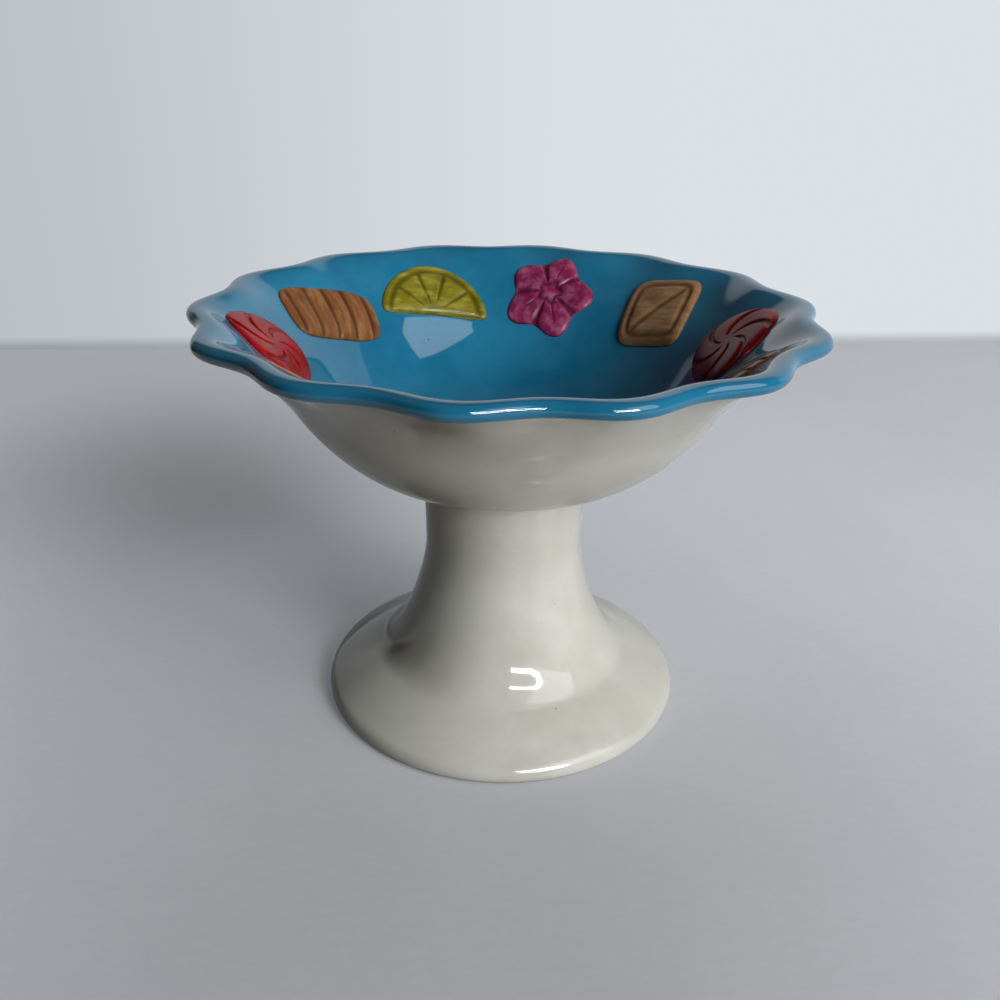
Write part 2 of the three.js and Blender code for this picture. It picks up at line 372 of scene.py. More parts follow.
# Cream glaze, with its patterns in clouds to the metre
CREAM = paint(0xDADAD3)
CREAM_THICK = paint(0xD0CFC6)
CREAM_STREAK = paint(0xC4C2B7)
IRON_SPECK = paint(0x6E6250)
BARE_CLAY = paint(0xCDBFA8)
DRY_RING_TOP = 0.3 * MM
DRY_GRAIN = 2400
DRY_GRAIN_RELIEF = 0.6
DRY_ROUGHNESS = 0.75
CREAM_MOTTLE = 38
CREAM_MOTTLE_BAND = (0.38, 0.66)
CREAM_RUNS = 70
CREAM_RUN_BAND = (0.56, 0.78)
CREAM_RUN_SHARE = 0.55
CREAM_RUN_STRETCH = (1, 1, 0.14)
CREAM_FINE = 900
CREAM_FINE_BAND = (0.5, 0.75)
CREAM_FINE_SHARE = 0.12
CREAM_RIPPLE = 110
CREAM_ROUGHNESS = 0.03
CREAM_MOTTLE_ROUGHNESS = 0.05
SPECK_SPACING = 9 * MM
SPECK_SIZE = 0.32 * MM
SPECK_COUNT_SHARE = 0.7
SPECK_DARKNESS = 0.75
SPECK_PIT = 0.3


def cream_glaze():
    """Cream glaze with faint mottling, running streaks and iron specks, wiped off the foot ring."""
    finish = Finish("cream_glaze")
    place = finish.place()
    height = finish.node("ShaderNodeSeparateXYZ", inputs={"Vector": place}, output="Z")
    mottle = finish.noise(place, CREAM_MOTTLE, detail=4, roughness=0.6)
    runs = finish.noise(finish.stretched(place, CREAM_RUN_STRETCH), CREAM_RUNS, detail=3)
    fine = finish.noise(place, CREAM_FINE)
    specks = finish.specks(place, SPECK_SPACING, SPECK_SIZE, SPECK_COUNT_SHARE)
    grain = finish.noise(place, DRY_GRAIN, detail=3)
    ripple = finish.noise(place, CREAM_RIPPLE)
    dry = finish.between(height, DRY_RING_TOP, DRY_RING_TOP / 2)

    colour = finish.blend(finish.between(mottle, *CREAM_MOTTLE_BAND), CREAM, CREAM_THICK)
    colour = finish.blend(finish.between(runs, *CREAM_RUN_BAND) * CREAM_RUN_SHARE, colour, CREAM_STREAK)
    colour = finish.blend(finish.between(fine, *CREAM_FINE_BAND) * CREAM_FINE_SHARE, colour, CREAM_STREAK)
    colour = finish.blend(specks * SPECK_DARKNESS, colour, IRON_SPECK)
    colour = finish.blend(dry, colour, BARE_CLAY)
    relief = ripple + grain * dry * DRY_GRAIN_RELIEF - specks * SPECK_PIT
    return finish.surface({
        "Base Color": colour,
        "Roughness": CREAM_ROUGHNESS + mottle * CREAM_MOTTLE_ROUGHNESS + dry * DRY_ROUGHNESS,
        "IOR": GLAZE_IOR,
        "Normal": finish.bumped(relief, RIPPLE_STRENGTH, RIPPLE_DEPTH),
    })


# Fired slip
SLIP_PALE = paint(0xD2CCBD)
SLIP_DARK = paint(0xB4AC99)
SLIP_MOTTLE = 260
SLIP_MOTTLE_BAND = (0.35, 0.7)
SLIP_GRAIN = 1800
SLIP_GRAIN_RELIEF = 0.4
SLIP_ROUGHNESS = 0.4
SLIP_GRAIN_ROUGHNESS = 0.25
SLIP_RELIEF_STRENGTH = 0.3
SLIP_RELIEF_DEPTH = 0.2 * MM


def fired_slip():
    """Slip squeezed from the joint: a dull, slightly grainy body under a thin glaze."""
    finish = Finish("fired_slip")
    place = finish.place()
    mottle = finish.noise(place, SLIP_MOTTLE, detail=4)
    grain = finish.noise(place, SLIP_GRAIN, detail=3)
    relief = mottle + grain * SLIP_GRAIN_RELIEF
    return finish.surface({
        "Base Color": finish.blend(finish.between(mottle, *SLIP_MOTTLE_BAND), SLIP_PALE, SLIP_DARK),
        "Roughness": SLIP_ROUGHNESS + grain * SLIP_GRAIN_ROUGHNESS,
        "IOR": GLAZE_IOR,
        "Normal": finish.bumped(relief, SLIP_RELIEF_STRENGTH, SLIP_RELIEF_DEPTH),
    })


# Teal glaze
TEAL = paint(0x2C8AB2)
TEAL_THICK = paint(0x227CA4)
TEAL_DARKER = paint(0x1A6C90)
TEAL_EDGE_DARK = paint(0x074A6B)
TEAL_CLOUD = 55
TEAL_CLOUD_BAND = (0.36, 0.68)
TEAL_FINE = 600
TEAL_FINE_BAND = (0.45, 0.75)
TEAL_FINE_SHARE = 0.15
TEAL_RIPPLE = 85
TEAL_ROUGHNESS = 0.02
TEAL_CLOUD_ROUGHNESS = 0.05
# A darker band over the lip, and darker still along the coat's edge under the lip
LIP_BAND_START = (1.4 * MM, 2.6 * MM)
LIP_BAND_END = (14 * MM, 5 * MM)
LIP_DARK_SHARE = 0.35
LIP_CLOUD_SHARE = 0.5
EDGE_DARK_BAND = (1.5 * MM, 0.3 * MM)
EDGE_DARK_SHARE = 0.8
PINHOLE = paint(0x0B2F42)
PINHOLE_SPACING = 7 * MM
PINHOLE_SIZE = 0.36 * MM
PINHOLE_COUNT_SHARE = 0.55
PINHOLE_DARKNESS = 0.8
PINHOLE_PIT = 0.6


def teal_glaze():
    """Teal glaze: thick in the well, darker in a band over the lip and darker still along the coat's edge
    under it, with a few pinholes.
    """
    finish = Finish("teal_glaze")
    place = finish.place()
    from_edge = finish.noted("from_edge")
    cloud = finish.noise(place, TEAL_CLOUD, detail=4, roughness=0.55)
    fine = finish.noise(place, TEAL_FINE, detail=3)
    ripple = finish.noise(place, TEAL_RIPPLE)
    pinholes = finish.specks(place, PINHOLE_SPACING, PINHOLE_SIZE, PINHOLE_COUNT_SHARE)
    lip = finish.between(from_edge, *LIP_BAND_START) * finish.between(from_edge, *LIP_BAND_END)
    edge_dark = finish.between(from_edge, *EDGE_DARK_BAND)

    colour = finish.blend(finish.between(cloud, *TEAL_CLOUD_BAND), TEAL, TEAL_THICK)
    colour = finish.blend(finish.between(fine, *TEAL_FINE_BAND) * TEAL_FINE_SHARE, colour, TEAL_DARKER)
    # Darker in a band over the lip, and darker still along the coat's edge under the lip
    colour = finish.blend(lip * (LIP_DARK_SHARE + cloud * LIP_CLOUD_SHARE), colour, TEAL_DARKER)
    colour = finish.blend(edge_dark * EDGE_DARK_SHARE, colour, TEAL_EDGE_DARK)
    colour = finish.blend(pinholes * PINHOLE_DARKNESS, colour, PINHOLE)
    return finish.surface({
        "Base Color": colour,
        "Roughness": TEAL_ROUGHNESS + cloud * TEAL_CLOUD_ROUGHNESS,
        "IOR": GLAZE_IOR,
        "Normal": finish.bumped(ripple - pinholes * PINHOLE_PIT, RIPPLE_STRENGTH, RIPPLE_DEPTH),
    })


# Sprig glazes
STROKE_BAND = (0.4, 0.7)
STROKE_STRENGTH = 0.15
STROKE_DEPTH = 0.15 * MM
SPRIG_CLOUD = 160
SPRIG_CLOUD_BAND = (0.45, 0.75)
SPRIG_CLOUD_SHARE = 0.5
# Painted shade on a sprig: how far down its dome it darkens, and how strongly there and in its grooves
CROWN_BAND = (0.45, 0.05)
CROWN_SHADE = 0.6
GROOVE_SHADE = 0.75
SPRIG_ROUGHNESS = 0.12
SPRIG_CLOUD_ROUGHNESS = 0.12
SPRIG_GLOSS = 0.1


def sprig_glaze(name, body, shade, light, stroke_scale, stroke_turn):
    """Brushed glaze on a sprig: strokes along the pad, with painted shade in its grooves and towards its
    foot, so that it is paler on its crown.
    """
    finish = Finish(name)
    place = finish.place()
    pad = finish.noted("pad_place", "Vector")
    groove = finish.noted("groove")
    crown = finish.noted("crown")
    strokes = finish.noise(finish.stretched(pad, stroke_scale, stroke_turn), 1, detail=4, roughness=0.6)
    cloud = finish.noise(place, SPRIG_CLOUD, detail=3)

    colour = finish.blend(finish.between(strokes, *STROKE_BAND), body, light)
    colour = finish.blend(finish.between(cloud, *SPRIG_CLOUD_BAND) * SPRIG_CLOUD_SHARE, colour, shade)
    # Painted shade: the shade tint laid towards the foot of the pad's dome and into its grooves
    colour = finish.blend(finish.between(crown, *CROWN_BAND) * CROWN_SHADE, colour, shade)
    colour = finish.blend(groove * GROOVE_SHADE, colour, shade)
    return finish.surface({
        "Base Color": colour,
        "Roughness": SPRIG_ROUGHNESS + cloud * SPRIG_CLOUD_ROUGHNESS,
        "IOR": GLAZE_IOR,
        "Specular IOR Level": SPRIG_GLOSS,
        "Normal": finish.bumped(strokes + cloud, STROKE_STRENGTH, STROKE_DEPTH),
    })


# Pedestal
def pedestal():
    """A bell of even wall, open at both ends, with a rolled foot edge and a dry ring."""
    outer, inner = RIGHT_ANGLE - FLANGE_OUTER_SLOPE, RIGHT_ANGLE - FLANGE_INNER_SLOPE
    tuck_centre = Vector((FOOT_RADIUS - FOOT_TUCK, FOOT_TUCK))
    tuck = arc(tuck_centre, FOOT_TUCK, -RIGHT_ANGLE, 0, EDGE_STEPS)
    roll = arc(Vector((FOOT_RADIUS - EDGE_ROLL, FOOT_TUCK)), EDGE_ROLL, 0, outer, EDGE_STEPS)
    dome_radius = (roll[-1].x - FOOT_RADIUS + FLANGE_WIDTH) / (math.cos(outer) - math.cos(inner))
    dome_centre = roll[-1] - heading(outer, dome_radius)
    flange = arc(dome_centre, dome_radius, outer, inner, EDGE_STEPS)

    waist = Vector((STEM_RADIUS, PEDESTAL_HEIGHT - NECK_HEIGHT))
    top = Vector((STEM_TOP_RADIUS, PEDESTAL_HEIGHT))
    neck_handle = Vector((STEM_RADIUS, PEDESTAL_HEIGHT - NECK_HEIGHT / 2))
    flare = ease_curve(
        flange[-1], math.pi - FLANGE_INNER_SLOPE, FLARE_FOOT_REACH, waist, RIGHT_ANGLE, FLARE_WAIST_REACH
    )
    neck = interpolate_bezier(
        waist, waist.lerp(neck_handle, 2 / 3), top.lerp(neck_handle, 2 / 3), top, CURVE_STEPS // 2
    )
    stem = Run(flare + neck[1:])
    inside = [stem.beside(mark, PEDESTAL_WALL) for mark in reversed(stem.marks)]
    inside[0] = Vector((BORE_RADIUS, PEDESTAL_HEIGHT))
    ring_inside = tuck_centre.x - FOOT_RING_WIDTH
    under_radius = dome_radius - PEDESTAL_WALL
    under_end = math.acos((ring_inside - dome_centre.x) / under_radius)
    underside = arc(dome_centre, under_radius, inner, under_end, EDGE_STEPS)
    profile = tuck + roll[1:] + flange[1:-1] + stem.points
    profile += inside + underside[1:] + [Vector((ring_inside, 0)), tuck[0]]
    bm = turn(profile, PEDESTAL_WEDGES, PEDESTAL_STEPS)
    soften_corners(bm)
    return bm


def joint_slip():
    """The slip ring, squeezed out into a round bead."""
    middle = Vector((STEM_TOP_RADIUS, SLIP_THICKNESS / 2))
    bead = arc(middle, SLIP_BEAD, -RIGHT_ANGLE, RIGHT_ANGLE, EDGE_STEPS)
    profile = [Vector((BORE_RADIUS, 0)), *bead, Vector((BORE_RADIUS, SLIP_THICKNESS))]
    return turn([*profile, profile[0]], PEDESTAL_WEDGES, PEDESTAL_STEPS, PEDESTAL_HEIGHT)


# Bowl
seat_edge = Vector((STEM_TOP_RADIUS + SLIP_BEAD + SEAT_MARGIN, 0))
lip_radius = LIP_WALL / 2
lip_centre = Vector((RIM_RADIUS, BOWL_HEIGHT)) - Vector((1, 1)) * (lip_radius + GLAZE_DEPTH)
wall_end = lip_centre + heading(LIP_SLOPE - RIGHT_ANGLE, lip_radius)
belly = Vector((RIM_RADIUS - RIM_FLARE_WIDTH, BELLY_HEIGHT))
belly_curve = ease_curve(seat_edge, 0, SEAT_REACH, belly, BELLY_SLOPE, BELLY_REACH)
rim_curve = ease_curve(belly, BELLY_SLOPE, FLARE_REACH, wall_end, LIP_SLOPE, LIP_REACH)
wall = Run(belly_curve + rim_curve[1:])
belly_mark = wall.marks[len(belly_curve) - 1]


def inside_wall(mark, depth):
    """A place in the bowl, at a depth over the clay's inner face."""
    thickness = BOWL_WALL + (LIP_WALL - BOWL_WALL) * smoothstep(mark, belly_mark, wall.length)
    return wall.beside(mark, thickness + depth)


# The crest of the teal coat: an arc that leaves the roll of the lip and lands on the wall
crest_mark = wall.length - CREST_RUN
crest_foot = inside_wall(crest_mark, GLAZE_DEPTH)
crest_normal = (crest_foot - wall.beside(crest_mark, 0)).normalized()
outward = -crest_normal.orthogonal()
roll_radius = lip_radius + GLAZE_DEPTH
roll_end = RIGHT_ANGLE - CREST_FALL
crest_radius = roll_radius + (lip_centre - crest_foot).dot(outward) / heading(roll_end, 1).dot(outward)
crest_centre = lip_centre + heading(roll_end, roll_radius - crest_radius)
crest_swell = crest_radius - (crest_foot - crest_centre).dot(crest_normal)


def lining_depth(mark):
    """How thick the teal coat lies: it swells towards the crest of the lip."""
    return GLAZE_DEPTH + crest_swell * smoothstep(mark, crest_mark - CREST_FADE, crest_mark)


def bowl():
    """The clay body: a wall that thins to a rounded lip, and a locating ring under its floor."""
    ring_outside = STEM_RADIUS - PEDESTAL_WALL - LOCATING_CLEARANCE
    ring_inside = ring_outside - LOCATING_WIDTH
    floor = [
        Vector((0, 0)),
        Vector((ring_inside, 0)),
        Vector((ring_inside, -LOCATING_DEPTH)),
        Vector((ring_outside, -LOCATING_DEPTH)),
        Vector((ring_outside, 0)),
    ]
    nose = arc(lip_centre, lip_radius, LIP_SLOPE - RIGHT_ANGLE, LIP_SLOPE + RIGHT_ANGLE, EDGE_STEPS)
    inside = [inside_wall(mark, 0) for mark in reversed(wall.marks)]
    profile = floor + wall.points + nose[1:-1] + inside + [Vector((0, BOWL_WALL))]
    bm = turn(profile, LOBE_COUNT, LOBE_STEPS, SEAT_HEIGHT)
    for vert in bm.verts:
        scallop(vert.co)
    return bm


def glaze_lining():
    """The teal coat, from the floor of the bowl up the wall and round the lip to a rounded edge."""
    edge_mark = wall.length - LIP_WRAP
    edge_marks = [edge_mark + GLAZE_EDGE_ROUND * i / EDGE_STEPS for i in range(EDGE_STEPS + 1)]
    edge_marks = [mark for mark in edge_marks if mark < wall.length]
    nose = (LIP_SLOPE - RIGHT_ANGLE, LIP_SLOPE + RIGHT_ANGLE)

    def coat(mark):
        share = min((mark - edge_mark) / GLAZE_EDGE_ROUND, 1)
        return GLAZE_DEPTH * math.sqrt(1 - (1 - share) ** 2)

    outer = [wall.beside(mark, -coat(mark)) for mark in edge_marks]
    outer += arc(lip_centre, roll_radius, LIP_SLOPE - RIGHT_ANGLE, roll_end, EDGE_STEPS)
    crest_end = math.atan2(crest_normal.y, crest_normal.x)
    outer += arc(crest_centre, crest_radius, roll_end, crest_end, EDGE_STEPS)[1:]
    inside_marks = [mark for mark in reversed(wall.marks) if mark < crest_mark]
    outer += [inside_wall(mark, lining_depth(mark)) for mark in inside_marks]
    outer.append(Vector((0, BOWL_WALL + GLAZE_DEPTH)))
    inner = [Vector((0, BOWL_WALL + GLAZE_CLEARANCE))]
    inner += [inside_wall(mark, GLAZE_CLEARANCE) for mark in wall.marks[:-1]]
    inner += reversed(arc(lip_centre, lip_radius + GLAZE_CLEARANCE, *nose, EDGE_STEPS))
    inner.append(outer[0])
    distances = Run(outer).marks
    bm = turn(
        outer + inner, LOBE_COUNT, LOBE_STEPS, SEAT_HEIGHT,
        ("from_edge", distances + [distances[-1]] * len(inner)),
    )
    for vert in bm.verts:
        scallop(vert.co)
    return bm


# Sprigs
def round_sweet(angle):
    """A plain disc."""
    return SWEET_RADIUS


def rounded_bar(length, width, squareness):
    """The outline of a bar with soft corners."""
    def outline(angle):
        ends = abs(math.cos(angle)) / (length / 2)
        sides = abs(math.sin(angle)) / (width / 2)
        return (ends ** squareness + sides ** squareness) ** (-1 / squareness)
    return outline


def blossom(angle):
    """Round petals, parted by notches."""
    return BLOSSOM_RADIUS - BLOSSOM_NOTCH * (1 - math.cos(BLOSSOM_PETALS * angle)) / 2


def half_moon(angle):
    """A half disc whose chord lies below the pad's middle."""
    rise = math.sin(angle)
    level = MOON_CHORD_DROP * math.cos(angle)
    to_arc = math.sqrt(MOON_RADIUS ** 2 - level ** 2) - MOON_CHORD_DROP * rise
    past_chord = max(-rise, 0) / MOON_CHORD_DROP
    return (to_arc ** -MOON_SHARPNESS + past_chord ** MOON_SHARPNESS) ** (-1 / MOON_SHARPNESS)


def furrow(wave, width):
    """1 along the crest of a wave that runs from -1 to 1, falling to 0 at its width."""
    return smoothstep(wave, 1 - width, 1)


# Grooves, with places in shares of the way from the middle of a pad to its edge
SWEET_ARMS = 6
SWEET_TWIST = 2.4
SWEET_ARM_WIDTH = 0.3
SWEET_EYE = (0.12, 0.3)
SWEET_EDGE = (1, 0.9)
CARAMEL_BORDER = 0.74
CARAMEL_BORDER_REACH = 0.2
CARAMEL_BORDER_WIDTH = 0.6
CARAMEL_BORDER_GAP = 0.1
CARAMEL_DIAGONAL_REACH = CARAMEL_SIDE / 5
CARAMEL_DIAGONAL_WIDTH = 0.5
BLOSSOM_EYE = 0.24
BLOSSOM_EYE_REACH = 0.14
BLOSSOM_EYE_WIDTH = 0.8
BLOSSOM_PETAL_START = (BLOSSOM_EYE, 0.4)
BLOSSOM_CREASE_WIDTH = 0.25
BLOSSOM_VEIN_DEPTH = 0.5
BLOSSOM_VEIN_WIDTH = 0.06
BLOSSOM_VEIN_END = (0.85, 0.5)
BLOSSOM_EDGE = (1, 0.93)
MOON_SEGMENTS = 5
MOON_SEGMENT_WIDTH = 0.25
MOON_SEGMENT_START = (0.16, 0.3)
MOON_SEGMENT_END = (0.84, 0.78)
MOON_RIND = 0.83
MOON_RIND_REACH = 0.1
MOON_RIND_WIDTH = 0.9
MOON_EDGE = (1, 0.94)
TOFFEE_BARS = 5
TOFFEE_BAR_WIDTH = 0.35
TOFFEE_EDGE = (1, 0.9)


def sweet_groove(share, angle, across, up):
    """Curved grooves from the middle of the sweet to its edge."""
    arms = furrow(math.cos(SWEET_ARMS * angle + SWEET_TWIST * math.pi * share), SWEET_ARM_WIDTH)
    return arms * smoothstep(share, *SWEET_EYE) * smoothstep(share, *SWEET_EDGE)


def caramel_groove(share, angle, across, up):
    """A groove round the square, inside its border, and one corner to corner."""
    border = furrow(1 - abs(share - CARAMEL_BORDER) / CARAMEL_BORDER_REACH, CARAMEL_BORDER_WIDTH)
    diagonal = furrow(1 - abs(across - up) / CARAMEL_DIAGONAL_REACH, CARAMEL_DIAGONAL_WIDTH)
    return max(border, diagonal * smoothstep(share, CARAMEL_BORDER, CARAMEL_BORDER - CARAMEL_BORDER_GAP))


def blossom_groove(share, angle, across, up):
    """Creases between the petals, a vein down each, and a ring round the eye."""
    wave = math.cos(BLOSSOM_PETALS * angle)
    creases = furrow(-wave, BLOSSOM_CREASE_WIDTH)
    veins = BLOSSOM_VEIN_DEPTH * furrow(wave, BLOSSOM_VEIN_WIDTH) * smoothstep(share, *BLOSSOM_VEIN_END)
    petals = max(creases, veins) * smoothstep(share, *BLOSSOM_PETAL_START)
    eye = furrow(1 - abs(share - BLOSSOM_EYE) / BLOSSOM_EYE_REACH, BLOSSOM_EYE_WIDTH)
    return max(petals, eye) * smoothstep(share, *BLOSSOM_EDGE)


def moon_groove(share, angle, across, up):
    """Segments that fan from the middle of the chord, inside a rind along the arc."""
    drop = up + MOON_CHORD_DROP
    reach = math.hypot(across, drop) / MOON_RADIUS
    segments = furrow(math.cos(2 * MOON_SEGMENTS * math.atan2(drop, across)), MOON_SEGMENT_WIDTH)
    segments *= smoothstep(reach, *MOON_SEGMENT_START) * smoothstep(reach, *MOON_SEGMENT_END)
    rind = furrow(1 - abs(reach - MOON_RIND) / MOON_RIND_REACH, MOON_RIND_WIDTH)
    return max(segments, rind) * smoothstep(share, *MOON_EDGE)


def toffee_groove(share, angle, across, up):
    """Cross grooves that mark the bar into pieces."""
    wave = -math.cos(2 * math.pi * TOFFEE_BARS * (across / TOFFEE_LENGTH + 0.5))
    return furrow(wave, TOFFEE_BAR_WIDTH) * smoothstep(share, *TOFFEE_EDGE)


def sprig(outline, tilt, groove, groove_depth, azimuth):
    """A domed pad pulled out to its outline, cut with grooves, tilted and laid on the lining."""
    shares = [math.sin(RIGHT_ANGLE * i / SPRIG_RINGS) for i in range(SPRIG_RINGS + 1)]
    dome = [Vector((s, math.sqrt(1 - s ** SPRIG_DOME))) for s in shares]
    bm = turn([*dome, Vector((1, -1)), Vector((0, -1))], SPRIG_WEDGES, SPRIG_STEPS)
    pad_place = bm.verts.layers.float_vector.new("pad_place")
    groove_note = bm.verts.layers.float.new("groove")
    crown_note = bm.verts.layers.float.new("crown")
    middle = wall.length - SPRIG_LIP_DISTANCE
    for vert in bm.verts:
        share = math.hypot(vert.co.x, vert.co.y)
        angle = math.atan2(vert.co.y, vert.co.x)
        flat = heading(angle, share * outline(angle))
        cut = groove(share, angle, flat.x, flat.y) if vert.co.z > 0 else 0.0
        rise = SPRIG_HEIGHT * vert.co.z - groove_depth * cut if vert.co.z > 0 else -SPRIG_SINK
        vert[pad_place] = (flat.x, flat.y, 0)
        vert[groove_note] = cut
        vert[crown_note] = max(vert.co.z, 0)
        flat = Matrix.Rotation(tilt, 2) @ flat
        mark = middle + flat.y
        laid = inside_wall(mark, lining_depth(mark) + rise)
        turned = azimuth - flat.x / laid.x
        vert.co = (laid.x * math.cos(turned), laid.x * math.sin(turned), SEAT_HEIGHT + laid.y)
        scallop(vert.co)
    return bm


def add_sprigs():
    """Rounds of the five kinds of sprig, evenly spaced in a ring."""
    caramel_outline = rounded_bar(CARAMEL_SIDE, CARAMEL_SIDE, CARAMEL_SQUARENESS)
    toffee_outline = rounded_bar(TOFFEE_LENGTH, TOFFEE_WIDTH, TOFFEE_SQUARENESS)
    # Name, outline, tilt, groove, its depth, glaze, its body, shade and light tints (the shade tint also
    # paints shade into the grooves and the foot), scale and turn of its strokes
    kinds = [
        ("round_sweet", round_sweet, 0, sweet_groove, 0.4 * MM, "crimson_glaze",
         (0xA80B12, 0x6E0408, 0xC21A1E), (90, 320, 1), 0.6),
        ("caramel", caramel_outline, CARAMEL_TILT, caramel_groove, 0.35 * MM, "caramel_glaze",
         (0xB0835A, 0x6E4526, 0xCBA57C), (110, 620, 1), 0.5),
        ("blossom", blossom, 0, blossom_groove, 0.5 * MM, "magenta_glaze",
         (0x9A2C5C, 0x5E1034, 0xC0698F), (260, 260, 1), 0),
        ("half_moon", half_moon, MOON_TILT, moon_groove, 0.4 * MM, "olive_glaze",
         (0x8C8420, 0x4E4A0E, 0xB7AC45), (140, 420, 1), 1.0),
        ("toffee", toffee_outline, TOFFEE_TILT, toffee_groove, 0.45 * MM, "toffee_glaze",
         (0x8A5834, 0x4A2812, 0xAE7C50), (420, 110, 1), 0),
    ]
    count = SPRIG_ROUNDS * len(kinds)
    for k, (name, outline, tilt, groove, depth, slot, tints, stroke_scale, stroke_turn) in enumerate(kinds):
        material = sprig_glaze(slot, *[paint(code) for code in tints], stroke_scale, stroke_turn)
        for lap in range(SPRIG_ROUNDS):
            azimuth = 2 * math.pi * (k + lap * len(kinds)) / count
            bm = sprig(outline, tilt, groove, depth, azimuth)
            add_piece(f"{name}_relief_{lap + 1}", bm, material, f"{name}_sprig_{lap + 1}")


# Camera, with its angles in radians
CAMERA_PLACE = Vector((-20.5, -219.7, 154.05)) * MM
CAMERA_HEADING = 0.0886
CAMERA_PITCH = 0.438
CAMERA_ROLL = 0.0168
CAMERA_LENS = 35.5
CAMERA_NEAREST = 10 * MM


def add_camera():
    """The photograph's viewpoint."""
    camera = bpy.data.objects.new("camera", bpy.data.cameras.new("camera"))
    camera.data.lens = CAMERA_LENS
    camera.data.clip_start = CAMERA_NEAREST
    turn_to_dish = Matrix.Rotation(-CAMERA_HEADING, 4, "Z")
    look_down = Matrix.Rotation(RIGHT_ANGLE - CAMERA_PITCH, 4, "X")
    lean = Matrix.Rotation(CAMERA_ROLL, 4, "Z")
    camera.matrix_world = Matrix.Translation(CAMERA_PLACE) @ turn_to_dish @ look_down @ lean
    bpy.context.scene.collection.objects.link(camera)
    bpy.context.scene.camera = camera


# Stage
WALL_DISTANCE = 309 * MM
STAGE_SIZE = 6.0
TABLE_PALE = paint(0xC9CBD0)
TABLE_SHADE = paint(0xC1C3C8)
TABLE_BOUNCE = paint(0x68614F)
TABLE_ROUGHNESS = 0.6
PAPER_CLOUD = 9
PAPER_GRAIN = 240
PAPER_GRAIN_STRETCH = (1, 2.5, 1)
PAPER_GRAIN_SHARE = 0.5
PAPER_BAND = (0.5, 1)
# Painted light on the table top, seen only by the camera and in reflections: a glow that is lighter away
# from the dish, and a painted shadow where the dish's shadow falls
TABLE_GLOW_NEAR = paint(0x414246)
TABLE_GLOW_FAR = paint(0x8A8E94)
TABLE_DIM_PLACE = Vector((-10, -88, 0)) * MM
TABLE_GLOW_SPAN = (0, 240 * MM)
TABLE_SHADE_PLACE = Vector((-109, 136, 0)) * MM
TABLE_SHADE_RADIUS = 131 * MM
TABLE_SHADE_DEPTH = 0.5
# The wall's colour for the camera is painted light: lighter towards the window, painted dark at its left end
# and top for an unlit room, and painted shade along its foot
BACKDROP_LEFT = paint(0xB9BFC5)
BACKDROP_RIGHT = paint(0xDBE1E5)
BACKDROP_BOUNCE = paint(0x544C3E)
BACKDROP_SPAN = (-280 * MM, 120 * MM)
BACKDROP_DARK = paint(0x2A2C2E)
BACKDROP_DUSK = paint(0x585B5F)
BACKDROP_LEFT_END = (-260 * MM, -420 * MM)
BACKDROP_TOP_END = (280 * MM, 320 * MM)
BACKDROP_TOP_SLANT = 0.4
BACKDROP_FOOT = 7.5 * MM
BACKDROP_FOOT_SHADE = 0.36
BLACK = paint(0)


def seen_directly(finish):
    """1 for what the camera sees, also in a reflection, and 0 for light that bounces off."""
    camera = finish.node("ShaderNodeLightPath", output="Is Camera Ray")
    glossy = finish.node("ShaderNodeLightPath", output="Is Glossy Ray")
    through = finish.node("ShaderNodeLightPath", output="Is Transmission Ray")
    return camera.math("MAXIMUM", camera.math("MAXIMUM", camera, glossy), through)


def table_top():
    """A pale, dull table top with a paper grain, clear from below, with painted light that is lighter away
    from the dish and a painted shadow behind it to the left.
    """
    finish = Finish("table_top")
    place = finish.place()
    cloud = finish.noise(place, PAPER_CLOUD, detail=4)
    fibres = finish.stretched(place, PAPER_GRAIN_STRETCH)
    paper = cloud + finish.noise(fibres, PAPER_GRAIN, detail=5, roughness=0.7) * PAPER_GRAIN_SHARE
    away = finish.distance(place, TABLE_DIM_PLACE)
    shade = finish.between(finish.distance(place, TABLE_SHADE_PLACE), TABLE_SHADE_RADIUS, 0)
    seen = seen_directly(finish)
    colour = finish.blend(finish.between(paper, *PAPER_BAND), TABLE_PALE, TABLE_SHADE)
    glow = finish.blend(finish.between(away, *TABLE_GLOW_SPAN), TABLE_GLOW_NEAR, TABLE_GLOW_FAR)
    return finish.surface({
        "Base Color": finish.blend(seen, TABLE_BOUNCE, colour),
        "Roughness": TABLE_ROUGHNESS,
        "Specular IOR Level": 0,
        # Painted light and painted shadow: a glow for the camera, dimmed where the dish's shadow falls
        "Emission Color": finish.blend(seen * (1 - shade * TABLE_SHADE_DEPTH), BLACK, glow),
        "Emission Strength": 1,
        "Alpha": 1 - finish.node("ShaderNodeNewGeometry", output="Backfacing"),
    })


